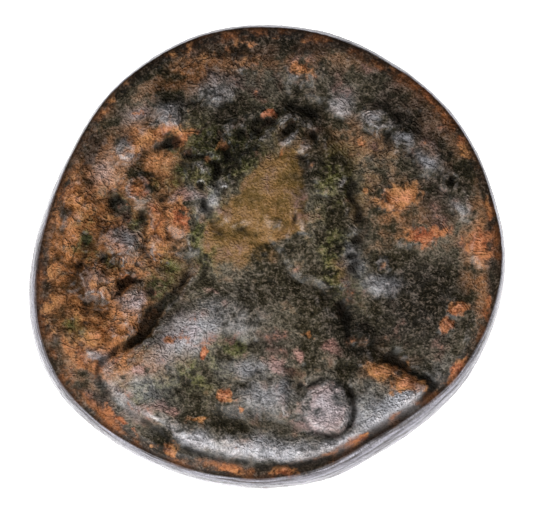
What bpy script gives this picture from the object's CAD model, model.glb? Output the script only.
import math

import bmesh
import bpy
import numpy as np
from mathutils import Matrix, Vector, noise


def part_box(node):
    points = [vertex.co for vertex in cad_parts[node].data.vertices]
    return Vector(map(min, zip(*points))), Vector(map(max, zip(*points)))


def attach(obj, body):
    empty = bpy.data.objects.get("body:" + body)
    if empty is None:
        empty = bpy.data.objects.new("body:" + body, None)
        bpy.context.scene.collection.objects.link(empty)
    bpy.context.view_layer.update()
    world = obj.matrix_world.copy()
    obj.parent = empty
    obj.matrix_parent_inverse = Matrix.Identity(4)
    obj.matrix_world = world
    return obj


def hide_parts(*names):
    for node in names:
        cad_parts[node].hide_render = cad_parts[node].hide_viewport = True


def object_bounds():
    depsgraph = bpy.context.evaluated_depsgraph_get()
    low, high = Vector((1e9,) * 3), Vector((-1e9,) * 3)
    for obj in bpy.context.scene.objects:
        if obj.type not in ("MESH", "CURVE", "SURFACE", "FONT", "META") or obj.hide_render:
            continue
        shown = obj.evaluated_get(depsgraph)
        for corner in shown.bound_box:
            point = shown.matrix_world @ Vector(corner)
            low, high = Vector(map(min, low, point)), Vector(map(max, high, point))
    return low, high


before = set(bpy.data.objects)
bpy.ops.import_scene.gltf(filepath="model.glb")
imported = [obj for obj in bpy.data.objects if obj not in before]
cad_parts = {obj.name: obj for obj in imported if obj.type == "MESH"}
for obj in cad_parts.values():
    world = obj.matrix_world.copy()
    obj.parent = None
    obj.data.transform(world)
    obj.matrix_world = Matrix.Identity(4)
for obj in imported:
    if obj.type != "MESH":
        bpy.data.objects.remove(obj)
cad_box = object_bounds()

# The flan. A thick blank of leaded bronze, cast and trimmed by hand, so it is neither round nor
# even. Its edge bulges below the middle, and the dies left a bevel above the bulge that is broad
# at the foot and lower right and narrow at the top. Lengths here are millimetres.
MM = 0.001
FLAN_RADIUS = 12.0
FIELD_HEIGHT = 3.15
WIDEST_HEIGHT = 1.3
OBVERSE_ROUNDING = 0.85
OBVERSE_EDGE_DROP = 0.3
REVERSE_INSET = 0.5
REVERSE_ROUNDING = 0.6
REVERSE_EDGE_LIFT = 0.3
# the radius, as a share of the nominal one, at every half hour anticlockwise from three o'clock
RADIUS_AT_HALF_HOUR = (
    1.008, 0.994, 0.992, 0.99, 0.98, 0.986, 0.988, 0.99, 0.979, 0.966, 0.947, 0.958,
    0.996, 1.04, 1.055, 1.03, 1.0, 0.986, 0.979, 0.97, 0.955, 0.966, 0.991, 1.003,
)
BEVEL_AT_HOUR = (0.24, 0.16, 0.2, 0.18, 0.16, 0.18, 0.42, 0.48, 0.5, 0.62, 0.86, 0.58)
FACE_CELLS = 128
WALL_RINGS = 8
RINGS_ABOVE_WIDEST = 5
ON_FACE = 0.999


def around(values, turn):
    """Values given at even steps round a closed way, carried smoothly to a share of a turn."""
    values = np.array(values)
    count = len(values)
    step = (turn * count) % count
    before = step.astype(int)
    t = step - before
    a, b, c, d = (values[(before + k) % count] for k in (-1, 0, 1, 2))
    return b + 0.5 * t * (c - a + t * (2 * a - 5 * b + 4 * c - d + t * (3 * (b - c) + d - a)))


def square_blank():
    """The blank before it is rolled round: a cube whose top and bottom are the two faces."""
    blank = bmesh.new()
    bmesh.ops.create_cube(blank, size=2)
    level = [edge for edge in blank.edges if edge.verts[0].co.z == edge.verts[1].co.z]
    bmesh.ops.subdivide_edges(blank, edges=level, cuts=FACE_CELLS - 1, use_grid_fill=True)
    upright = [edge for edge in blank.edges if edge.verts[0].co.z != edge.verts[1].co.z]
    bmesh.ops.subdivide_edges(blank, edges=upright, cuts=WALL_RINGS - 1, use_grid_fill=True)
    above = 1 - 2 * (RINGS_ABOVE_WIDEST + 0.5) / WALL_RINGS
    obverse = [edge for edge in blank.edges if min(vert.co.z for vert in edge.verts) > above]
    bmesh.ops.subdivide_edges(blank, edges=obverse, cuts=1, use_grid_fill=True)
    mesh = bpy.data.meshes.new("coin")
    blank.to_mesh(mesh)
    blank.free()
    return mesh


def read(mesh, collection, prop, width):
    """One property of all of a mesh's vertices, normals or edges, as rows of numbers."""
    items = getattr(mesh, collection)
    values = np.empty(len(items) * width, int if prop == "vertices" else float)
    items.foreach_get(prop, values)
    return values.reshape(-1, width)


mesh = square_blank()
across, along, level = read(mesh, "vertices", "co", 3).T

# rolled round: the square's rings become circles that keep all its cells the same area
out = np.maximum(abs(across), abs(along))
sideways = abs(across) > abs(along)
eighth = np.where(sideways, along, across) / np.where(out > 0, np.where(sideways, across, along), 1)
turn = np.where(
    sideways,
    np.where(across < 0, 0.5, 0) + eighth / 8,
    np.where(along < 0, 0.75, 0.25) - eighth / 8,
) % 1
bearing = turn * math.tau

widest = FLAN_RADIUS * around(RADIUS_AT_HALF_HOUR, turn)
obverse_rim = widest - around(BEVEL_AT_HOUR, turn)
reverse_rim = widest - REVERSE_INSET
on_obverse = level > ON_FACE
on_reverse = level < -ON_FACE
on_wall = ~(on_obverse | on_reverse)

# The strike. The obverse die held a cloaked bust facing right, the reverse die a wreath round
# an altar. Both were struck hard into the hot flan, and years in a purse wore the high parts
# nearly flat. Places are shares of the flan's radius, heights are millimetres.
BUST_STEP = 0.22
BUST_ROUNDING = 0.22
BUST_WEAR = 0.58
WEAR_LEFT = 0.45
STEP_WIDTH = 0.045
HEAD_WEAR = 0.05
SWELL_WIDTH = 0.16
HEAD_HEIGHT = 0.775
EAR_AXIS = 0.005
CHIN_LEVEL = -0.15
HEAD_TILT = math.radians(1.5)
HEAD_MIDDLE, HEAD_REACH = 0.55, 0.42
# in the head's own frame, the skull's middle and half lengths
SKULL = (-0.01, 0.6, 0.44, 0.4)
HAIR_ROWS, HAIR_LOCKS, HAIR_HEIGHT = 2.7, 17, 0.12
WORN_HAIR = (-0.02, 0.16, 0.26, 0.19, 60)
# the brooch's middle, radius and height, and the groove round it as shares of that radius
BROOCH = (0.246, -0.63, 0.102, 0.15)
BROOCH_GROOVE = (1.22, 0.18)
FIELD_RISE = 1.3
# how far the clean outlines are torn, and how many millimetres across the tears are
OUTLINE_TEAR, TEAR_ABOVE_FOOT, CREVICE_TEAR = 0.011, 0.008, 1.4
TEAR_SIZE = 1.6


def smooth(t):
    t = np.clip(t, 0, 1)
    return t * t * (3 - 2 * t)


def bell(distance, width):
    return np.exp(-((distance / width) ** 2))


def turned(x, y, angle):
    """A place turned about the origin."""
    return x * math.cos(angle) - y * math.sin(angle), x * math.sin(angle) + y * math.cos(angle)


def on_head(x, y):
    """From the head's own frame, in head heights, with x forward of the ear, y above the chin."""
    x, y = turned(x, y - 0.5, HEAD_TILT)
    return x * HEAD_HEIGHT + EAR_AXIS, (y + 0.5) * HEAD_HEIGHT + CHIN_LEVEL


def distance_to(points, x, y, closed=False):
    """How far places lie from a line of points, below zero inside a closed one."""
    nearest = np.full(x.shape, np.inf)
    inside = np.zeros(x.shape, bool)
    for (ax, ay), (bx, by) in zip(points, points[1:] + points[: int(closed)]):
        ex, ey = bx - ax, by - ay
        t = np.clip(((x - ax) * ex + (y - ay) * ey) / (ex * ex + ey * ey), 0, 1)
        nearest = np.minimum(nearest, np.hypot(x - ax - t * ex, y - ay - t * ey))
        if closed and ay != by:
            crossed = ((ay > y) != (by > y)) & (x < ax + (y - ay) / ey * ex)
            inside ^= crossed
    return np.where(inside, -nearest, nearest)


def lump(x, y, place):
    """A rounded lump: its middle, half length, half width and turn in degrees."""
    cx, cy, length, width, degrees = place
    dx, dy = turned(x - cx, y - cy, -math.radians(degrees))
    return bell(np.hypot(dx / length, dy / width), 1)


def fractal(places, size, octaves, seed):
    """Noise at places in millimetres, from about -1 to 1, its largest features size across."""
    shift = Vector((seed * 17.3, seed * 5.1, seed * 29.7))
    return np.array([noise.fractal(Vector(p) / size + shift, 0.9, 2.0, octaves) for p in places])


def blisters(places, size, seed):
    """Rounded blisters with creases between them, from 0 in a crease to 1 on their tops."""
    shift = Vector((seed * 11.9, seed * 23.1, seed * 7.7))
    nearest = np.array([noise.voronoi(Vector(p) / size + shift)[0][0] for p in places])
    return 1 - np.clip(nearest, 0, 1) ** 2


# the bust's outline, from the nape down the back, along the foot as turns in degrees and radii,
# up the chest, and up the face and round the skull in the head's own frame
BACK = [
    (-0.285, 0.0), (-0.31, -0.04), (-0.41, -0.18), (-0.5, -0.295), (-0.585, -0.395), (-0.7, -0.465),
]
FOOT = [
    (221, 0.86), (233, 0.85), (248, 0.856), (263, 0.86), (278, 0.872), (293, 0.887), (308, 0.9),
]
CHEST = [
    (0.675, -0.54), (0.565, -0.46), (0.45, -0.405), (0.36, -0.37), (0.34, -0.3), (0.32, -0.23),
]
FACE = [
    (0.27, -0.035), (0.3, 0), (0.385, 0.002), (0.436, 0.055), (0.418, 0.115), (0.45, 0.155),
    (0.428, 0.193), (0.462, 0.225), (0.445, 0.285), (0.512, 0.34), (0.455, 0.44), (0.414, 0.535),
    (0.434, 0.6), (0.424, 0.7),
]
SKULL_TURNS = (20, 40, 60, 80, 100, 120, 140, 160, 180, 200, 216)
corners = list(BACK)
for degrees, radius in FOOT:
    corners.append((radius * math.cos(math.radians(degrees)), radius * math.sin(math.radians(degrees))))
corners += CHEST + [on_head(*place) for place in FACE]
for degrees in SKULL_TURNS:
    forward = SKULL[0] + SKULL[2] * math.cos(math.radians(degrees))
    upward = SKULL[1] + SKULL[3] * math.sin(math.radians(degrees))
    corners.append(on_head(forward, upward))
steps = np.linspace(0, 1, 4 * len(corners), endpoint=False)
bust_outline = list(zip(*(around(values, steps) for values in zip(*corners))))

# what stands on the bust or is cut into it: its line, half width and height
BUST_FORMS = [
    # the cloak over the near shoulder, the hollow under it and the rolled fold along the foot
    ([(-0.56, -0.47), (-0.4, -0.35), (-0.2, -0.24), (-0.1, -0.22)], 0.085, 0.24),
    ([(-0.42, -0.58), (-0.2, -0.48), (-0.14, -0.4)], 0.07, -0.18),
    ([(-0.2, -0.68), (0.0, -0.69), (0.1, -0.71)], 0.05, -0.12),
    (
        [(-0.5, -0.63), (-0.3, -0.755), (0.0, -0.8), (0.3, -0.815), (0.54, -0.69), (0.68, -0.56)],
        0.055, 0.2,
    ),
    # folds drawn towards the brooch
    ([(-0.15, -0.335), (-0.09, -0.375), (0.02, -0.34)], 0.025, -0.09),
    ([(0.06, -0.48), (0.05, -0.56), (0.07, -0.66)], 0.028, 0.16),
    ([(0.015, -0.5), (0.02, -0.6)], 0.016, -0.08),
    ([(0.14, -0.46), (0.135, -0.57)], 0.016, -0.1),
    ([(0.13, -0.53), (0.17, -0.535), (0.22, -0.51)], 0.016, -0.1),
    ([(-0.12, -0.58), (0.03, -0.59)], 0.07, 0.14),
    ([(0.42, -0.64), (0.5, -0.58)], 0.07, 0.12),
    ([(0.38, -0.46), (0.2, -0.46)], 0.03, -0.1),
    # the swell of the head
    ([(-0.05, 0.22), (0.05, 0.3)], 0.24, 0.12),
    # neck, jaw, cheek, brow, eye, mouth and ear
    ([on_head(-0.05, 0), on_head(-0.12, -0.15)], 0.11, -0.1),
    ([on_head(0.0, 0.27), on_head(0.1, 0.09), on_head(0.27, 0.01)], 0.03, -0.12),
    ([on_head(0.25, 0.38), on_head(0.28, 0.3)], 0.07, 0.08),
    ([on_head(0.4, 0.6), on_head(0.27, 0.62)], 0.025, 0.07),
    ([on_head(0.35, 0.515), on_head(0.27, 0.51)], 0.03, -0.1),
    ([on_head(0.44, 0.195), on_head(0.36, 0.185)], 0.016, -0.07),
    ([on_head(-0.01, 0.54), on_head(0.0, 0.43), on_head(0.04, 0.39)], 0.03, 0.1),
]

# worn ends of the tie behind the head, then remains of a border and legend, and pits: each
# one's middle, half length, half width, turn in degrees and height
FIELD_FORMS = [
    (-0.37, 0.19, 0.06, 0.09, 0, 0.2), (-0.24, 0.26, 0.08, 0.035, 60, 0.2),
    (-0.29, 0.085, 0.05, 0.06, 0, 0.18), (-0.41, 0.61, 0.06, 0.05, 0, 0.2),
    (-0.21, 0.71, 0.08, 0.055, 15, 0.2), (-0.13, 0.81, 0.07, 0.04, 0, 0.12),
    (-0.47, 0.53, 0.11, 0.05, 30, 0.22), (-0.42, 0.495, 0.05, 0.03, 15, -0.2),
    (-0.6, 0.45, 0.055, 0.05, 0, 0.24), (-0.54, 0.3, 0.065, 0.075, 30, 0.18),
    (-0.47, 0.14, 0.045, 0.12, 5, 0.18), (-0.64, 0.23, 0.05, 0.05, 0, -0.16),
    (-0.62, 0.07, 0.08, 0.07, 0, 0.28), (-0.83, 0.26, 0.09, 0.11, -30, 0.16),
    (-0.58, -0.18, 0.07, 0.065, 0, 0.2), (-0.61, -0.095, 0.06, 0.016, 20, -0.16),
    (-0.73, -0.1, 0.075, 0.065, 0, 0.24), (-0.73, -0.35, 0.085, 0.065, 0, 0.16),
    (-0.62, -0.29, 0.05, 0.05, 0, 0.14), (0.31, 0.645, 0.055, 0.045, -30, 0.16),
    (0.46, 0.58, 0.07, 0.045, -25, 0.2), (0.57, 0.515, 0.065, 0.045, -35, 0.2),
    (0.68, 0.425, 0.075, 0.05, -45, 0.2), (0.83, 0.23, 0.065, 0.05, -60, 0.16),
    (0.15, 0.805, 0.085, 0.065, 0, 0.2), (0.775, 0.322, 0.045, 0.045, 0, 0.12),
    (0.775, 0.322, 0.02, 0.02, 0, -0.16), (0.55, 0.263, 0.095, 0.055, 20, 0.1),
    (0.635, 0.097, 0.105, 0.04, 5, 0.1), (0.487, -0.034, 0.035, 0.03, 0, 0.14),
    (0.9, 0.06, 0.05, 0.09, 0, 0.14), (0.47, -0.108, 0.08, 0.035, -15, 0.13),
    (0.385, -0.335, 0.045, 0.045, 0, 0.22), (0.797, -0.203, 0.04, 0.045, -20, 0.12),
    (0.754, -0.284, 0.03, 0.03, 0, 0.1), (0.87, -0.3, 0.04, 0.08, -20, 0.1),
    (0.2, 0.64, 0.07, 0.05, 0, -0.12),
]


def hair(x, y, unevenness):
    """Rows of worn locks laid round the skull, back from the face."""
    px, py = turned((x - EAR_AXIS) / HEAD_HEIGHT, (y - CHIN_LEVEL) / HEAD_HEIGHT - 0.5, -HEAD_TILT)
    py = py + 0.5
    dx, dy = (px - SKULL[0]) / SKULL[2], (py - SKULL[1]) / SKULL[3]
    reach, round_skull = np.hypot(dx, dy), np.arctan2(dy, dx)
    scalp = smooth((reach - 0.45) / 0.15) * smooth((1 - reach) / 0.15) * smooth((py - 0.2) / 0.2)
    behind_face = smooth((0.24 - px + 0.5 * np.maximum(0, py - 0.62)) / 0.08)
    row = np.cos(math.tau * HAIR_ROWS * reach + 1.5 * round_skull + 2.5 * unevenness)
    lock = np.cos(HAIR_LOCKS * round_skull + 9 * reach + 4 * unevenness) * (0.6 + unevenness)
    kept = 1 - 0.85 * lump(x, y, WORN_HAIR)
    return scalp * behind_face * kept * (HAIR_HEIGHT * row + HAIR_HEIGHT * lock - HAIR_HEIGHT)


# the lines that dirt and corrosion keep open: the face's front, the tie, the creases of the left
# field, the gaps beside the brooch and the partings between the locks
PROFILE = [on_head(*place) for place in FACE[3:]]
TIE = [(0.06, 0.63), (-0.02, 0.53), (-0.1, 0.45), (-0.19, 0.38), (-0.22, 0.34)]
CREASES = [
    [(-0.305, 0.258), (-0.419, 0.225), (-0.451, 0.178), (-0.424, 0.085)],
    [(-0.67, -0.2), (-0.653, -0.148), (-0.587, -0.085), (-0.521, -0.102), (-0.49, -0.16)],
    [(-0.8, 0.14), (-0.77, 0.02), (-0.8, -0.08)],
]
BROOCH_GAPS = [
    [(0.1, -0.47), (0.085, -0.53), (0.09, -0.58)],
    [(0.35, -0.57), (0.365, -0.64), (0.345, -0.71)],
]
PARTINGS = [
    [(-0.33, 0.4), (-0.25, 0.48), (-0.12, 0.53), (-0.02, 0.6)],
    [(-0.24, 0.37), (-0.15, 0.46), (-0.06, 0.47)],
    [(0.1, 0.62), (0.19, 0.56), (0.22, 0.44)],
]
# each crevice's line, half width, height, the level that it ends below, and the dirt beside it
CREVICES = [
    (BACK[:4] + [(-0.56, -0.35)], 0.017, -0.12, 0, 0.5),
    (CHEST, 0.03, -0.22, 0, 1.1),
    (PROFILE, 0.025, -0.03, 1, 0.5),
    (TIE, 0.02, -0.13, 1, 0.8),
]
CREVICES += [(line, 0.013, -0.05, 1, 0.35) for line in CREASES]
CREVICES += [(line, 0.028, -0.1, 1, 0.8) for line in PARTINGS]
CREVICES += [(line, 0.015, -0.04, 0, 0.4) for line in BROOCH_GAPS]
DIRT_SPREAD = 2.8


def in_crevices(x, y, unevenness):
    """How deep in a crevice each place lies, the crevices' height there, and the dirt by them."""
    depth, height, dirt = np.zeros(x.shape), np.zeros(x.shape), np.zeros(x.shape)
    for line, width, rise, top, filled in CREVICES:
        distance = distance_to(line, x, y)
        share = bell(distance, width * (1 + 0.7 * np.clip(unevenness, -1, 1)))
        share *= np.clip(0.65 + 1.2 * unevenness, 0, 1) * smooth((top - y) / 0.15)
        depth = np.maximum(depth, share)
        height += rise * share
        spilt = filled * bell(distance, DIRT_SPREAD * width)
        dirt = np.maximum(dirt, spilt * smooth(0.5 + (top - y) / 0.3))
    return depth, height, dirt


def obverse_relief(x, y, unevenness):
    """The height of the bust, its brooch and the lumps of the field over the plain field."""
    depth = -distance_to(bust_outline, x, y, closed=True)
    head = lump(x, y, (EAR_AXIS, CHIN_LEVEL + HEAD_MIDDLE * HEAD_HEIGHT, HEAD_REACH, HEAD_REACH, 0))
    body = smooth(depth / (STEP_WIDTH + HEAD_WEAR * head) + 0.5)
    height = BUST_STEP * body + BUST_ROUNDING * (1 - np.exp(-np.maximum(depth, 0) / SWELL_WIDTH))
    for line, width, rise in BUST_FORMS:
        height += body * rise * bell(distance_to(line, x, y), width)
    height += body * hair(x, y, unevenness)
    height = np.minimum(height, BUST_WEAR + WEAR_LEFT * (height - BUST_WEAR))
    # the brooch, a disc with a groove round its right side
    from_brooch = np.hypot(x - BROOCH[0], y - BROOCH[1]) / BROOCH[2]
    groove = smooth(0.3 + (x - BROOCH[0] - 0.4 * (y - BROOCH[1])) / BROOCH[2] / 2)
    height += BROOCH[3] * (smooth((1.15 - from_brooch) / 0.3) + 0.4 * bell(from_brooch, 0.8))
    height -= BROOCH[3] * groove * bell(from_brooch - BROOCH_GROOVE[0], BROOCH_GROOVE[1])
    for *place, rise in FIELD_FORMS:
        form = lump(x, y, place)
        height += FIELD_RISE * (1 - body) * rise * (smooth(1.4 * form) if rise > 0 else form)
    return height


# the reverse: a wreath open at the top, round a garlanded altar with three flames, and a border.
# REVERSE_WEAR is how much higher its relief stood before it was worn to one plane.
REVERSE_DEPTH = 0.3
REVERSE_WEAR = 1.6
WREATH_RADIUS, WREATH_WIDTH, LEAVES = 0.68, 0.07, 22
ALTAR_WIDTH, ALTAR_HEIGHT, ALTAR_SLAB, ALTAR_OVERHANG = 0.48, 0.36, 0.07, 0.07
GARLAND = [(-0.2, 0.1), (-0.12, 0.0), (0.0, -0.045), (0.12, 0.0), (0.2, 0.1)]
FLAMES = [(-0.13, 0.14), (0.0, 0.24), (0.13, 0.14)]
FLAME_SLENDERNESS = 2.2
BORDER = 0.88


def reverse_relief(x, y):
    """How much of the reverse's relief is there, from 0 on its field to 1 where it is worn flat."""
    reach, from_top = np.hypot(x, y), np.arctan2(x, y)
    leaf = abs(np.cos(0.5 * LEAVES * from_top + 9 * (reach - WREATH_RADIUS)))
    gap = smooth((abs(from_top) - 0.1) / 0.1)
    wreath = gap * bell(reach - WREATH_RADIUS, WREATH_WIDTH * (0.7 + 0.7 * leaf))
    up = y + ALTAR_HEIGHT / 2
    from_end = np.minimum(abs(up), abs(ALTAR_HEIGHT - up))
    shaft = smooth(0.5 + (ALTAR_WIDTH / 2 - abs(x)) / STEP_WIDTH) * smooth(0.5 + up / STEP_WIDTH)
    shaft *= smooth(0.5 + (ALTAR_HEIGHT - up) / STEP_WIDTH)
    slab = smooth(0.5 + (ALTAR_WIDTH / 2 + ALTAR_OVERHANG - abs(x)) / STEP_WIDTH)
    slab *= smooth(0.5 + (ALTAR_SLAB / 2 - from_end) / STEP_WIDTH)
    altar = np.maximum(shaft, slab) * (1 - 0.6 * bell(distance_to(GARLAND, x, y), 0.02))
    fire = [
        bell(np.hypot(FLAME_SLENDERNESS * (x - fx), up - ALTAR_HEIGHT - high / 2), high / 2)
        for fx, high in FLAMES
    ]
    return REVERSE_WEAR * np.maximum.reduce([wreath, altar] + fire)


x = out * np.where(on_reverse, reverse_rim, obverse_rim) * np.cos(bearing)
y = out * np.where(on_reverse, reverse_rim, obverse_rim) * np.sin(bearing)
z = np.zeros_like(x)

# the obverse, rounded off towards its rim. A wandering shift tears the outlines that the die
# left clean, and the crevices' more.
fall = smooth(1 - (1 - out) * obverse_rim / OBVERSE_ROUNDING)
u, v = x / FLAN_RADIUS, y / FLAN_RADIUS
flat_places = np.stack([x, y, z], 1)
tear = OUTLINE_TEAR + TEAR_ABOVE_FOOT * smooth((v + 0.55) / 0.2)
u_worn = u + tear * fractal(flat_places, TEAR_SIZE, 4, 4)
v_worn = v + tear * fractal(flat_places, TEAR_SIZE, 4, 5)
relief = obverse_relief(u_worn, v_worn, fractal(flat_places, 2.2, 2, 16))
u_torn, v_torn = u + CREVICE_TEAR * (u_worn - u), v + CREVICE_TEAR * (v_worn - v)
crevice, sunk, dirt = in_crevices(u_torn, v_torn, fractal(flat_places, 1.8, 3, 10))
relief += sunk
plain = FIELD_HEIGHT - OBVERSE_EDGE_DROP * fall * fall
z[on_obverse] = (plain + relief * (1 - fall))[on_obverse]

# the reverse, its relief worn to the plane that the coin lies on
lift = smooth(1 - (1 - out) * reverse_rim / REVERSE_ROUNDING)
device = np.maximum(reverse_relief(x / FLAN_RADIUS, y / FLAN_RADIUS), smooth((out - BORDER) / 0.04))
device = np.minimum(1, device)
z[on_reverse] = (REVERSE_DEPTH * (1 - device) + REVERSE_EDGE_LIFT * lift * lift)[on_reverse]

# the wall, a quarter of an ellipse from each face to the widest line
widest_level = 1 - 2 * RINGS_ABOVE_WIDEST / WALL_RINGS
upper = level > widest_level
down_wall = np.where(upper, (1 - level) / (1 - widest_level), (1 + level) / (1 + widest_level))
inner = np.where(upper, obverse_rim, reverse_rim)
face_height = np.where(upper, FIELD_HEIGHT - OBVERSE_EDGE_DROP, REVERSE_EDGE_LIFT)
radius = inner + (widest - inner) * np.sin(down_wall * math.pi / 2)
x[on_wall] = (radius * np.cos(bearing))[on_wall]
y[on_wall] = (radius * np.sin(bearing))[on_wall]
z[on_wall] = (WIDEST_HEIGHT + (face_height - WIDEST_HEIGHT) * np.cos(down_wall * math.pi / 2))[on_wall]

# set on the node's own middle, as the flan's outline isn't round
(low_x, low_y, _), (high_x, high_y, _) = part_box("coin")
x += (low_x + high_x) / 2 / MM - (x.min() + x.max()) / 2
y += (low_y + high_y) / 2 / MM - (y.min() + y.max()) / 2

mesh.vertices.foreach_set("co", np.stack([x, y, z], 1).ravel() * MM)
mesh.update()

# The corrosion. In the ground the bronze grew a hard dark skin and, over it, crusts of copper
# and iron salts, and where the skin failed it pitted. The left of the obverse and its top are
# the roughest, and the bust was cleaned and rubbed smooth.
places = np.stack([x, y, z], 1)

# how rough the skin is, from 0 to 1: zones with their half length, half width, turn and share
ROUGH_ZONES = [
    (0.4, -0.3, 0.12, 0.12, 0, 0.6), (0.3, 0.0, 0.1, 0.25, 0, 0.5), (0.0, -0.15, 0.3, 0.1, 0, 0.35),
    (-0.65, 0.0, 0.3, 0.5, 0, 1.0), (-0.2, 0.75, 0.5, 0.2, 0, 0.9), (0.6, 0.5, 0.3, 0.3, 0, 0.7),
    (0.7, -0.2, 0.3, 0.3, 0, 0.35), (-0.2, 0.45, 0.2, 0.17, 20, 1.0),
    (0.1, 0.58, 0.15, 0.1, -20, 0.7), (-0.4, -0.62, 0.25, 0.1, -20, 0.3),
    (0.35, -0.4, 0.15, 0.15, 0, 0.35), (0.25, 0.3, 0.15, 0.25, 0, 0.4),
]
RUBBED_HEAD = (-0.03, 0.17, 0.25, 0.17, 60)
SMOOTH_SKIN, REVERSE_SKIN, WALL_SKIN = 0.14, 0.45, 0.08
# millimetres across, for the crust's blisters and its finer forms
LARGE_BLISTERS, SMALL_BLISTERS, BEND_SIZE, BEND = 2.1, 0.9, 1.3, 0.35
SWELLS, DENTS, WRINKLES, GRIT = 3.5, 0.6, 0.75, 0.28

rough = np.full(x.shape, SMOOTH_SKIN)
for *place, share in ROUGH_ZONES:
    rough = np.maximum(rough, share * lump(u, v, place))
rough *= 1 - 0.8 * lump(u, v, RUBBED_HEAD)
rough = np.where(on_reverse, REVERSE_SKIN, rough)
rough = np.where(on_wall, WALL_SKIN, rough)

# how high the skin stands at each vertex, every form with its own height in millimetres
bent = places + BEND * np.stack([fractal(places, BEND_SIZE, 2, k) for k in (7, 8, 9)], 1)
blistered = blisters(bent, LARGE_BLISTERS, 1) + 0.3 * blisters(bent, SMALL_BLISTERS, 2)
dents = fractal(places, DENTS, 3, 2)
swells = fractal(places, SWELLS, 2, 3)
grit = fractal(places, GRIT, 2, 6)
wrinkles = 1 - 3 * abs(fractal(bent, WRINKLES, 3, 15))
skin = 0.2 * (blistered - 1) + 0.04 * dents + 0.035 * wrinkles + 0.015 * grit
skin = 0.05 * swells + rough * skin
skin += 0.015 * dents + 0.008 * grit
normals = read(mesh, "vertex_normals", "vector", 3)
places += normals * skin[:, None]
places[:, 2] = np.clip(places[:, 2], 0, cad_box[1][2] / MM)
mesh.vertices.foreach_set("co", places.ravel() * MM)
mesh.shade_smooth()
mesh.update()

coin = bpy.data.objects.new("coin_struck", mesh)
bpy.context.collection.objects.link(coin)

# The patina. Over the dark skin lie patches of orange-brown and ochre crust, small pink spots of
# bared copper, green in the hollows and a smooth olive worn patch on the head. Each patch has its
# middle, half length, half width, turn in degrees and strength.
BROWN = [
    (-0.15, 0.47, 0.2, 0.12, 0, 0.35), (-0.78, 0.05, 0.28, 0.5, 0, 1.1),
    (-0.66, -0.3, 0.2, 0.2, 0, 1.2), (-0.48, 0.42, 0.16, 0.2, 30, 0.8),
    (0.0, 0.86, 0.6, 0.08, 0, 0.5), (0.7, 0.6, 0.12, 0.3, 35, 0.5), (0.9, 0.0, 0.07, 0.4, 0, 0.6),
    (0.55, 0.2, 0.2, 0.16, 0, 0.5), (-0.45, 0.1, 0.1, 0.25, 0, 0.9),
    (0.5, -0.45, 0.12, 0.08, -20, 0.7), (0.3, 0.5, 0.25, 0.15, 0, 0.4),
    (-0.3, 0.8, 0.3, 0.1, 25, 0.7),
]
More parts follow.
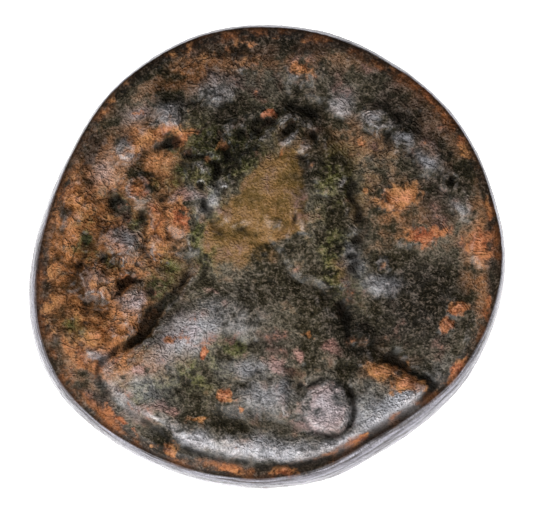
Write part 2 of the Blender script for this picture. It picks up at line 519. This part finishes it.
RUST = [
    (-0.263, 0.398, 0.035, 0.022, 60, 1.0), (-0.203, 0.457, 0.035, 0.02, 40, 1.0),
    (-0.36, 0.51, 0.05, 0.025, 10, 0.9), (0.556, 0.26, 0.11, 0.06, 20, 1.0),
    (0.415, 0.284, 0.02, 0.022, 0, 0.9), (0.398, 0.5, 0.022, 0.02, 0, 0.8),
    (0.636, 0.097, 0.11, 0.036, 4, 0.9), (0.487, -0.034, 0.036, 0.03, 0, 0.9),
    (0.797, -0.203, 0.036, 0.044, -20, 1), (0.754, -0.284, 0.032, 0.03, 0, 0.9),
    (0.593, -0.521, 0.075, 0.05, -10, 1.3), (0.479, -0.468, 0.08, 0.05, -25, 0.9),
    (0.797, -0.479, 0.12, 0.035, 57, 1), (0.076, -0.903, 0.075, 0.04, 0, 1.1),
    (0.9, 0.06, 0.05, 0.1, 0, 0.65), (0.84, 0.43, 0.17, 0.03, -62, 0.6),
    (-0.453, 0.53, 0.12, 0.04, 28, 0.9), (-0.56, 0.46, 0.06, 0.05, 60, 0.8),
    (-0.538, 0.305, 0.07, 0.08, 30, 0.9), (-0.47, 0.12, 0.04, 0.13, 5, 0.8),
    (-0.835, 0.263, 0.11, 0.09, 60, 1), (-0.37, 0.17, 0.045, 0.08, 0, 0.9),
    (-0.6, -0.09, 0.09, 0.02, 15, 0.9), (-0.73, -0.11, 0.08, 0.06, 0, 0.8),
    (-0.72, -0.25, 0.09, 0.05, 10, 0.9), (-0.7, -0.36, 0.12, 0.07, 0, 0.6),
    (-0.5, -0.24, 0.03, 0.06, -40, 0.7), (-0.27, -0.408, 0.022, 0.032, 0, 1.2),
    (-0.185, -0.585, 0.026, 0.04, 0, 1.2), (-0.298, -0.669, 0.07, 0.024, 5, 0.8),
    (-0.107, -0.64, 0.018, 0.016, 0, 1), (0.0, 0.593, 0.04, 0.02, 28, 1.2),
    (0.05, 0.424, 0.02, 0.02, 0, 0.8), (0.14, 0.8, 0.07, 0.04, 0, 0.8),
    (-0.2, 0.88, 0.2, 0.03, 12, 0.5), (0.178, -0.318, 0.02, 0.02, 0, 1),
    (-0.44, -0.795, 0.06, 0.04, -30, 1), (-0.06, 0.83, 0.08, 0.03, 0, 0.5),
    (-0.36, 0.765, 0.024, 0.02, 0, 0.9), (-0.78, -0.42, 0.05, 0.14, 35, 0.8),
    (0.403, -0.763, 0.05, 0.025, 30, 0.9), (0.55, -0.76, 0.1, 0.03, 38, 0.6),
    (-0.91, -0.12, 0.035, 0.25, 5, 0.6), (-0.62, 0.72, 0.2, 0.02, 47, 0.5),
    (0.5, 0.83, 0.2, 0.025, -33, 0.5), (-0.6, -0.7, 0.1, 0.015, -42, 0.6),
    (0.2, -0.9, 0.16, 0.02, 8, 0.4), (-0.2, -0.9, 0.14, 0.02, -8, 0.5),
    (-0.9, 0.2, 0.03, 0.16, -10, 0.7), (-0.86, -0.36, 0.03, 0.1, 20, 0.6),
    (0.93, -0.2, 0.02, 0.14, -10, 0.5), (-0.8, 0.5, 0.02, 0.12, -35, 0.5),
    (0.1, 0.93, 0.2, 0.015, -2, 0.4), (-0.4, 0.87, 0.12, 0.02, 25, 0.5),
    (0.68, 0.68, 0.02, 0.12, 45, 0.5), (0.93, 0.2, 0.02, 0.1, 8, 0.6),
    (-0.7, -0.31, 0.1, 0.07, 20, 1.0), (-0.8, -0.2, 0.06, 0.08, 0, 0.8),
    (-0.66, 0.15, 0.05, 0.04, 0, 0.7),
]
PINK = [
    (-0.295, -0.32, 0.03, 0.026, 0, 1), (-0.535, -0.475, 0.05, 0.03, 0, 0.9),
    (0.267, -0.387, 0.06, 0.028, -30, 1.3), (0.14, -0.408, 0.045, 0.024, 0, 1.2),
    (0.248, -0.635, 0.1, 0.1, 0, 1.2), (-0.24, -0.12, 0.09, 0.04, -40, 0.5),
    (0.04, -0.46, 0.04, 0.04, 0, 0.9), (-0.62, 0.08, 0.07, 0.06, 0, 0.7),
    (0.19, 0.55, 0.04, 0.06, 30, 0.5), (-0.57, -0.17, 0.05, 0.04, 0, 0.6),
    (-0.34, 0.27, 0.07, 0.04, 20, 0.9), (-0.4, -0.64, 0.12, 0.03, -30, 0.5),
    (0.15, 0.83, 0.06, 0.04, 0, 0.6),
]
GREEN = [
    (-0.5, 0.3, 0.04, 0.05, 0, 0.8), (-0.66, -0.02, 0.04, 0.05, 0, 0.8),
    (-0.45, -0.12, 0.05, 0.08, -40, 0.9), (-0.82, -0.3, 0.05, 0.05, 0, 0.7),
    (-0.55, 0.16, 0.04, 0.06, 0, 0.8), (-0.17, 0.46, 0.17, 0.12, 0, 1.3),
    (0.31, -0.04, 0.07, 0.14, 10, 1.3), (-0.636, 0.233, 0.06, 0.05, 0, 0.9),
    (-0.5, -0.57, 0.13, 0.06, 0, 0.7), (-0.42, 0.49, 0.06, 0.04, 20, 0.9),
    (-0.24, 0.05, 0.05, 0.16, -20, 0.8), (-0.15, -0.37, 0.06, 0.04, 0, 1),
    (0.27, 0.35, 0.12, 0.16, 0, 0.6), (0.45, -0.63, 0.12, 0.08, 0, 0.4),
    (-0.3, -0.5, 0.14, 0.07, 20, 0.7), (-0.5, -0.33, 0.05, 0.12, -40, 0.6),
    (-0.25, 0.35, 0.08, 0.12, 0, 0.8), (-0.755, 0.065, 0.05, 0.08, 0, 1.1),
    (-0.352, 0.356, 0.08, 0.06, 0, 1), (-0.42, -0.05, 0.06, 0.06, 0, 0.9),
    (-0.3, 0.1, 0.03, 0.1, 0, 0.8), (0.0, 0.6, 0.2, 0.06, 0, 0.8),
]
SHEEN = [
    (-0.32, -0.32, 0.18, 0.08, 34, 0.78), (-0.08, -0.47, 0.12, 0.05, 0, 0.6),
    (0.54, -0.64, 0.2, 0.07, 38, 1.2), (-0.62, -0.6, 0.16, 0.04, -42, 0.5),
    (0.36, -0.02, 0.05, 0.09, 10, 0.6), (-0.72, -0.43, 0.05, 0.04, 0, 0.8),
    (0.46, -0.118, 0.09, 0.035, -15, 0.5), (-0.3, -0.77, 0.14, 0.04, -20, 0.8),
    (0.0, -0.81, 0.25, 0.05, 0, 0.9), (0.33, -0.78, 0.2, 0.05, 18, 0.9),
    (0.248, -0.635, 0.1, 0.1, 0, 0.8), (0.0, -0.58, 0.12, 0.06, 0, 0.6),
    (0.42, -0.66, 0.15, 0.1, 10, 0.7), (-0.5, -0.56, 0.12, 0.07, -30, 0.4),
    (-0.12, -0.28, 0.1, 0.05, 10, 0.4), (-0.6, 0.45, 0.05, 0.05, 0, 0.35),
    (-0.6, 0.08, 0.06, 0.05, 0, 0.7), (-0.577, -0.178, 0.04, 0.035, 0, 0.6),
    (-0.41, 0.61, 0.06, 0.05, 0, 0.5), (-0.21, 0.71, 0.09, 0.06, 15, 0.4),
    (0.44, 0.575, 0.05, 0.025, -25, 0.7), (0.571, 0.511, 0.04, 0.025, -35, 0.8),
    (0.683, 0.413, 0.045, 0.03, -45, 0.6), (0.5, -0.1, 0.06, 0.03, -15, 0.4),
    (0.31, 0.645, 0.06, 0.05, -30, 0.5), (-0.24, 0.26, 0.08, 0.04, 60, 0.5),
    (0.83, 0.2, 0.05, 0.03, -60, 0.5), (-0.73, -0.1, 0.05, 0.05, 0, 0.5),
    (-0.53, 0.6, 0.08, 0.05, 40, 0.3), (-0.7, 0.356, 0.06, 0.07, 0, 0.45),
    (-0.3, 0.27, 0.06, 0.03, 0, 0.4),
]
OLIVE = [(0.32, -0.04, 0.06, 0.1, 0, 0.7), (-0.1, 0.02, 0.17, 0.06, 10, 0.7)]
WORN_PATCH = [
    (0.13, 0.47), (-0.02, 0.4), (-0.24, 0.12), (-0.27, 0.03), (-0.05, 0.04), (0.15, 0.13),
    (0.16, 0.3),
]
BLACK = [
    (-0.94, -0.1, 0.035, 0.4, 8, 1.2), (0.95, 0.1, 0.035, 0.35, 0, 1.2),
    (0.66, -0.18, 0.2, 0.22, 0, 1.15), (0.1, -0.12, 0.2, 0.1, 0, 0.35),
    (0.72, 0.28, 0.15, 0.16, 0, 0.9), (-0.14, 0.6, 0.14, 0.08, 10, 0.9),
    (0.6, 0.62, 0.26, 0.1, -45, 1.25), (-0.62, 0.6, 0.12, 0.08, 45, 0.7),
    (0.28, -0.12, 0.04, 0.14, 55, 0.4), (0.16, 0.6, 0.14, 0.06, -30, 1.1),
    (-0.12, 0.44, 0.14, 0.05, 45, 0.7), (0.18, 0.36, 0.05, 0.12, -20, 1),
    (0.35, -0.32, 0.13, 0.09, -40, 1.4), (-0.44, -0.28, 0.05, 0.14, -45, 0.9),
    (0.66, 0.44, 0.12, 0.07, -30, 1), (-0.76, -0.07, 0.06, 0.04, 0, 0.7),
    (0.05, 0.92, 0.6, 0.08, 0, 1.4), (-0.44, 0.5, 0.07, 0.04, 20, 0.8),
    (-0.52, 0.2, 0.05, 0.05, 0, 0.6), (-0.64, 0.22, 0.06, 0.05, 0, 1),
    (0.5, -0.28, 0.1, 0.1, 0, 0.8), (-0.1, -0.66, 0.2, 0.05, 0, 0.7),
    (0.362, -0.655, 0.03, 0.09, 15, 0.6), (-0.68, -0.65, 0.22, 0.03, -44, 1.0),
    (0.0, -0.93, 0.35, 0.03, 0, 1.0), (0.07, -0.54, 0.03, 0.06, 0, 0.9),
    (0.0, 0.74, 0.9, 0.25, 0, 0.5), (-0.737, 0.479, 0.03, 0.11, -30, 1.1),
    (-0.7, 0.0, 0.04, 0.05, 0, 0.8), (-0.08, -0.2, 0.14, 0.1, 0, 0.45),
    (0.02, -0.36, 0.12, 0.06, 0, 0.6),
]
RIM_DIRT = 0.962
BRINK, BRINK_WIDTH = 0.975, 0.025
BLOTCH_TEAR, BLOTCH_TEAR_SIZE = 0.03, 1.1

u_blotch = u + BLOTCH_TEAR * fractal(places, BLOTCH_TEAR_SIZE, 3, 11)
v_blotch = v + BLOTCH_TEAR * fractal(places, BLOTCH_TEAR_SIZE, 3, 12)


def painted(patches):
    """How strongly a set of patches covers each vertex of the obverse and of the wall's top."""
    strength = np.zeros(u.shape)
    for *place, share in patches:
        strength = np.maximum(strength, share * lump(u_blotch, v_blotch, place))
    strength = np.where(on_wall, strength * (1 - smooth(down_wall / 0.4)), strength)
    return np.where(on_reverse, 0, strength)


def keep(name, values):
    """A value for each vertex, which the patina reads by name."""
    mesh.attributes.new(name, "FLOAT", "POINT").data.foreach_set("value", np.clip(values, 0, 2))


edges = read(mesh, "edges", "vertices", 2)


def spread(values, times):
    """Values evened out with their neighbours along the mesh's edges."""
    ends = np.concatenate([edges, edges[:, ::-1]])
    count = np.bincount(ends[:, 0], minlength=len(values))
    for _ in range(times):
        values = np.bincount(ends[:, 0], values[ends[:, 1]], len(values)) / count
    return values


# hollows and proud places, by how far each lies below or above its near and wide surroundings
NEAR_RINGS, NEAR_DEPTH = 5, 0.02
WIDE_RINGS, WIDE_DEPTH = 50, 0.1
above_flan = np.where(on_obverse, places[:, 2] - plain, REVERSE_DEPTH - places[:, 2])
above_flan = np.where(on_wall, 0, above_flan)
near = (spread(above_flan, NEAR_RINGS) - above_flan) / NEAR_DEPTH
wide = (spread(above_flan, WIDE_RINGS) - above_flan) / WIDE_DEPTH
blotches = smooth(0.45 + fractal(places, 3.0, 4, 13))
hollow = near * 0.14 + wide * 0.5 + np.where(on_obverse, crevice * 0.4, 0)
proud = (-near * 0.35 - wide * 0.5) * (1 - 0.7 * np.minimum(1, painted(BLACK + GREEN)))
keep("hollow", np.where(on_wall, 0, hollow))
keep("dirt", np.where(on_obverse, dirt, 0))
keep("proud", np.where(on_wall, 0, proud))
keep("brown", np.where(on_reverse, 0.3 + blotches * 0.5, painted(BROWN)))
keep("rust", np.where(on_reverse, blotches * 0.9, painted(RUST)))
keep("pink", painted(PINK))
green_blotches = smooth(0.4 - fractal(places, 2.4, 3, 14)) * 0.7
keep("green", np.where(on_reverse, green_blotches, painted(GREEN)))
worn_patch = smooth(0.5 - distance_to(WORN_PATCH, u_blotch, v_blotch, closed=True) / 0.06)
keep("olive", np.where(on_obverse, np.maximum(painted(OLIVE), 1.1 * worn_patch), 0))
keep("black", painted(BLACK))
keep("sheen", np.where(on_reverse, smooth(device - 0.2) * 0.8, painted(SHEEN)))
keep("rough", rough)
rim_dirt = smooth(0.5 + (out - RIM_DIRT + 0.015 * smooth(-v)) / 0.05)
rim_dirt = np.where(on_wall, 1 - smooth(down_wall / 0.2), rim_dirt)
keep("rim", rim_dirt * (1 - 0.2 * smooth(1.6 * abs(u) - 0.6)))
keep("brink", np.where(on_wall, 1 - smooth(down_wall / 0.3), smooth((out - BRINK) / BRINK_WIDTH)))
keep("wall", np.where(on_wall, smooth(0.35 + down_wall / 0.5), 0))

# a place on the wall that runs slowly round it and fast down it, for the trimming's streaks
STREAK_LENGTH, STREAKS_DOWN = 3.0, 7.0
wall_place = np.stack([np.cos(bearing), np.sin(bearing), down_wall * STREAKS_DOWN / STREAK_LENGTH], 1)
streaks = mesh.attributes.new("wall_place", "FLOAT_VECTOR", "POINT")
streaks.data.foreach_set("vector", (wall_place * STREAK_LENGTH).ravel())


class Wire:
    """A socket of a material's nodes. A sum or product of wires adds the Math nodes for it."""

    def __init__(self, tree, socket=None):
        self.tree = tree
        self.socket = socket

    def node(self, kind, settings, inputs, output=0):
        """A new node in the same tree: its settings first, then what its sockets hold."""
        made = self.tree.nodes.new("ShaderNode" + kind)
        for name, value in settings.items():
            setattr(made, name, value)
        for name, value in inputs.items():
            if isinstance(value, Wire):
                self.tree.links.new(value.socket, made.inputs[name])
            else:
                made.inputs[name].default_value = value
        return Wire(self.tree, made.outputs[output])

    def maths(self, operation, first, second):
        return self.node("Math", {"operation": operation}, {0: first, 1: second})

    def __add__(self, other):
        return self.maths("ADD", self, other)

    __radd__ = __add__

    def __sub__(self, other):
        return self.maths("SUBTRACT", self, other)

    def __rsub__(self, other):
        return self.maths("SUBTRACT", other, self)

    def __mul__(self, other):
        return self.maths("MULTIPLY", self, other)

    __rmul__ = __mul__

    def over(self, edge, softness):
        """0 below an edge and 1 above it, with a soft step between."""
        steps = {"Value": self, "From Min": edge - softness, "From Max": edge + softness}
        return self.node("MapRange", {"interpolation_type": "SMOOTHSTEP"}, steps)

    def mixed(self, share, other):
        """This colour with a share of another one."""
        return self.node("Mix", {"data_type": "RGBA"}, {0: share, 6: self, 7: other}, 2)


# the share of its screen colour's light that the patina reflects, to suit the studio's lamps
LIT = 0.615


def paint(red, green, blue):
    """A colour as it looks on a screen, from 0 to 255, as the light it reflects."""
    return tuple(LIT * (value / 255) ** 2.2 for value in (red, green, blue)) + (1.0,)


# a dark and a light tone for each finish that is mottled
DARK_SKIN = paint(42, 38, 24), paint(86, 80, 68)
BROWN_CRUST = paint(86, 53, 25), paint(180, 119, 75)
MOSSY_GREEN = paint(30, 32, 12), paint(86, 86, 42)
OLIVE_WEAR = paint(84, 66, 36), paint(116, 86, 52)
RIM_CRUST = paint(40, 29, 20), paint(118, 70, 36)
ORANGE_CRUST = paint(96, 52, 24), paint(148, 104, 66)
TRIMMED_WALL = paint(64, 61, 62), paint(130, 128, 136)
# one tone for each of the rest
BLACK_SKIN = paint(27, 23, 15)
BARED_COPPER = paint(146, 106, 98)
RUBBED_SHEEN = paint(150, 150, 156)
CREVICE_DIRT = paint(25, 24, 13)
RED_CRUST = paint(148, 74, 54)
CRUST_HEART = paint(176, 118, 88)
BARE_BRONZE = paint(150, 143, 144)
PIT = paint(18, 17, 9)
CRACK = paint(24, 18, 9)
DARK_GRAIN = paint(14, 12, 8)
LIGHT_GRAIN = paint(170, 150, 134)
HOLLOW_DIRT = paint(14, 12, 7)
BRINK_DIRT = paint(34, 25, 19)
# millimetres between the fine cracks, across the wrinkles, and down for the deepest of them
CRACK_SPACING, WRINKLE_SIZE, BUMP_DEPTH = 1.3, 0.7, 0.5
CRACK_FINENESS = 0.0006

bronze = bpy.data.materials.new("bronze_patina")
bronze.use_nodes = True
shader = bronze.node_tree.nodes["Principled BSDF"]
tree = Wire(bronze.node_tree)
here = tree.node("TexCoord", {}, {}, 3)


def speckle(size, detail, roughness, shift=0.0):
    """Noise on the coin, its features so many millimetres across."""
    moved = tree.node("VectorMath", {"operation": "ADD"}, {0: here, 1: (shift, shift, shift)})
    settings = {"Vector": moved, "Scale": 1 / (size * MM), "Detail": detail, "Roughness": roughness}
    return tree.node("TexNoise", {}, settings)


def mask(name):
    """What was kept for each vertex under a name."""
    return tree.node("Attribute", {"attribute_name": name}, {}, 2)


def blend(share, first, second):
    """A mix of two colours."""
    return tree.node("Mix", {"data_type": "RGBA"}, {0: share, 6: first, 7: second}, 2)


def feed(socket, wire):
    """Leads a wire to one of the shader's own sockets."""
    tree.tree.links.new(wire.socket, shader.inputs[socket])


broad = speckle(2.4, 3, 0.5)
mid = speckle(0.9, 3, 0.5, 0.1)
fine = speckle(0.28, 3, 0.6, 0.2)
dust = speckle(0.11, 2, 0.6, 0.3)
streak = tree.node("Attribute", {"attribute_name": "wall_place"}, {}, 1)
streak = tree.node("TexNoise", {}, {"Vector": streak, "Scale": 1.5, "Detail": 4, "Roughness": 0.7})
blotch = (broad - 0.5) * 1.4 + (mid - 0.5) * 2.4 + (fine - 0.5) * 0.8
grain = (fine - 0.5) * 2.7 + (dust - 0.5) * 3.1

# the dark skin, with the patches that lie on it
colour = blend((broad + blotch * 0.2).over(0.5, 0.2), *DARK_SKIN)
warm = blend((broad * 0.6 + mid * 0.4).over(0.48, 0.12), *BROWN_CRUST)
colour = colour.mixed((mask("brown") + blotch * 0.8).over(0.5, 0.5), warm)
moss = blend((mid * 0.5 + fine * 0.5).over(0.5, 0.1), *MOSSY_GREEN)
colour = colour.mixed((mask("green") + blotch).over(0.45, 0.5), moss)
ochre = blend((mid + grain * 0.1).over(0.5, 0.2), *OLIVE_WEAR)
worn = (mask("olive") * 1.3 + blotch).over(0.6, 0.5)
colour = colour.mixed(worn, ochre)
black = (mask("black") + blotch).over(0.5, 0.5)
colour = colour.mixed(black * 0.85, BLACK_SKIN)
colour = colour.mixed((mask("pink") + blotch).over(0.6, 0.4) * 0.7, BARED_COPPER)
sheen = (mask("sheen") * 1.1 + grain * 0.06 + blotch * 0.3).over(0.5, 0.6)
colour = colour.mixed(sheen * 0.75, RUBBED_SHEEN)
colour = colour.mixed((mask("dirt") + blotch * 0.7).over(0.6, 0.5) * 0.8, CREVICE_DIRT)
rim = (mask("rim") + blotch * 0.4).over(0.5, 0.5)
edge = blend((mid + broad - 0.5).over(0.6, 0.16), *RIM_CRUST)
colour = colour.mixed(rim * 0.85, edge)

# the orange crust, redder in places and paler in the middle of its patches
crusty = mask("rust") * 1.1 + blotch * 0.7 + (fine - 0.5) * 0.7
crust = crusty.over(0.6, 0.25)
orange = blend((mid + grain * 0.15).over(0.5, 0.2), *ORANGE_CRUST)
colour = colour.mixed(crust * 0.9, orange)
colour = colour.mixed(crust * broad.over(0.55, 0.1) * 0.35, RED_CRUST)
colour = colour.mixed(crusty.over(1.1, 0.3) * 0.8, CRUST_HEART)

# what stands proud is rubbed bare, and what lies low is pitted, cracked and dirty
deep = (mask("hollow") + grain * 0.1).over(0.5, 0.45)
bare = (mask("proud") + grain * 0.2).over(0.8, 0.6)
colour = colour.mixed(bare * (0.45 - mask("brown") * 0.2), BARE_BRONZE)
pits = mask("rough") * 0.25 + mask("black") * 0.2 - mask("brown") * 0.25
pits = (pits - blotch).over(0.5, 0.45)
colour = colour.mixed(pits * 0.7, PIT)
vein = tree.node("TexNoise", {}, {
    "Vector": here, "Scale": 1 / (CRACK_SPACING * MM),
    "Detail": 3, "Roughness": 0.55, "Distortion": 0.4,
}) - 0.5
off_wall = 1.0 - mask("wall").over(0.3, 0.3)
cracks = (1.0 - (vein * vein).over(CRACK_FINENESS, CRACK_FINENESS)) * off_wall
cracks = cracks * (mid * 0.6 + fine * 0.4).over(0.46, 0.14)
colour = colour.mixed(cracks * (mask("rough") * 0.75 + 0.02), CRACK)
plainer = 1.0 - sheen * 0.6 - worn * 0.6 - crust * 0.3 - mask("brown") * 0.3
colour = colour.mixed((0.0 - grain).over(0.3, 0.55) * plainer * 0.75, DARK_GRAIN)
colour = colour.mixed(grain.over(0.4, 0.5) * plainer * 0.18, LIGHT_GRAIN)
colour = colour.mixed(deep * 0.9, HOLLOW_DIRT)
brink = (mask("brink") + blotch * 0.6).over(0.7, 0.5)
colour = colour.mixed(brink * 0.75, BRINK_DIRT)

# the wall's trimmed metal, streaked along the trimming
steel = blend(streak.over(0.5, 0.15), *TRIMMED_WALL)
wall = (mask("wall") * (1.0 + (streak - 0.5) * 2.0)).over(0.5, 0.5)
colour = colour.mixed(wall, steel)
feed("Base Color", colour)

feed("Roughness", 0.48 - wall * 0.1 + crust * 0.12 - bare * 0.06 + rim * 0.15 + (fine - 0.5) * 0.3)
clean = (1.0 - brink) * (1.0 - deep) * (1.0 - pits) * (1.0 - crust * 0.4)
clean = clean * (1.0 - rim * 0.6) * (1.0 - black * 0.4)
feed("Metallic", clean * (0.3 + bare * 0.35 + sheen * 0.5) + wall * 0.5)
feed("Coat Weight", clean * (0.12 + bare * 0.2))
shader.inputs["Coat Roughness"].default_value = 0.25
shader.inputs["Specular IOR Level"].default_value = 0.03

wrinkle = tree.node("TexNoise", {"noise_type": "RIDGED_MULTIFRACTAL"}, {
    "Vector": here, "Scale": 1 / (WRINKLE_SIZE * MM),
    "Detail": 3, "Roughness": 0.6, "Distortion": 0.6,
})
skin_height = (mask("rough") * 0.6 + 0.3) * (mid * 0.5 + fine * 0.65 + dust * 0.4)
skin_height = skin_height + (mask("rough") * 0.22 + 0.05) * wrinkle
skin_height = skin_height - cracks * (mask("rough") * 0.5 + 0.02)
feed("Normal", tree.node("Bump", {}, {
    "Strength": 1.0, "Distance": BUMP_DEPTH * MM, "Height": skin_height,
}))
mesh.materials.append(bronze)

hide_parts("coin")
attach(coin, "root")

# The studio. The coin lies on a pale floor that glows a little, so that it comes out as plain
# white ground. Five large soft lamps stand round it: three in front, two of them to its left, one
# at its left side and one behind it. The world adds a faint even light.
FLOOR_SIZE = 2
FLOOR_GLOW = 1.0
WORLD_LIGHT = 0.08
# each lamp's place and size in metres, and its power in watts
SOFTBOXES = [
    ("key", (-0.13, -0.3, 0.22), 0.18, 2.6),
    ("sheen", (-0.08, -0.22, 0.34), 0.16, 2.2),
    ("second", (0.22, -0.24, 0.2), 0.16, 1.5),
    ("left", (-0.33, 0.08, 0.2), 0.16, 1.0),
    ("top", (0.0, 0.34, 0.22), 0.18, 0.6),
]

bpy.ops.mesh.primitive_plane_add(size=FLOOR_SIZE, location=(0, 0, 0))
floor = bpy.context.object
floor.name = "floor"
pale = bpy.data.materials.new("pale_floor")
pale.use_nodes = True
floor_shader = pale.node_tree.nodes["Principled BSDF"]
floor_shader.inputs["Base Color"].default_value = (0.9, 0.9, 0.9, 1)
floor_shader.inputs["Roughness"].default_value = 0.8
floor_shader.inputs["Emission Color"].default_value = (1, 1, 1, 1)
floor_shader.inputs["Emission Strength"].default_value = FLOOR_GLOW
floor.data.materials.append(pale)

world = bpy.data.worlds.new("studio")
world.use_nodes = True
world.node_tree.nodes["Background"].inputs["Color"].default_value = (1, 1, 1, 1)
world.node_tree.nodes["Background"].inputs["Strength"].default_value = WORLD_LIGHT
bpy.context.scene.world = world

for name, stand, size, power in SOFTBOXES:
    lamp = bpy.data.lights.new(name, "AREA")
    lamp.size = size
    lamp.energy = power
    box = bpy.data.objects.new(name, lamp)
    box.location = stand
    box.rotation_euler = (-Vector(stand)).to_track_quat("-Z", "Y").to_euler()
    bpy.context.collection.objects.link(box)

# The camera. It looks straight down on the coin from far off, as the photograph does, so that
# the wall shows only as its bevel. The coin's middle stands where it does in the frame.
FRAME_WIDTH_PX, FRAME_HEIGHT_PX = 533, 518
COIN_MIDDLE_PX = (267, 257)
COIN_RADIUS_PX = 236
PX_PER_MM = COIN_RADIUS_PX / FLAN_RADIUS
CAMERA_HEIGHT = 0.4
SENSOR_WIDTH = 36

camera_data = bpy.data.cameras.new("camera")
camera = bpy.data.objects.new("camera", camera_data)
bpy.context.collection.objects.link(camera)
camera_data.sensor_width = SENSOR_WIDTH
span = FRAME_WIDTH_PX / PX_PER_MM * MM
camera_data.lens = SENSOR_WIDTH * (CAMERA_HEIGHT - WIDEST_HEIGHT * MM) / span
camera.location = (
    (FRAME_WIDTH_PX / 2 - COIN_MIDDLE_PX[0]) / PX_PER_MM * MM,
    (COIN_MIDDLE_PX[1] - FRAME_HEIGHT_PX / 2) / PX_PER_MM * MM,
    CAMERA_HEIGHT,
)
bpy.context.scene.camera = camera
bpy.context.scene.view_settings.view_transform = "Standard"
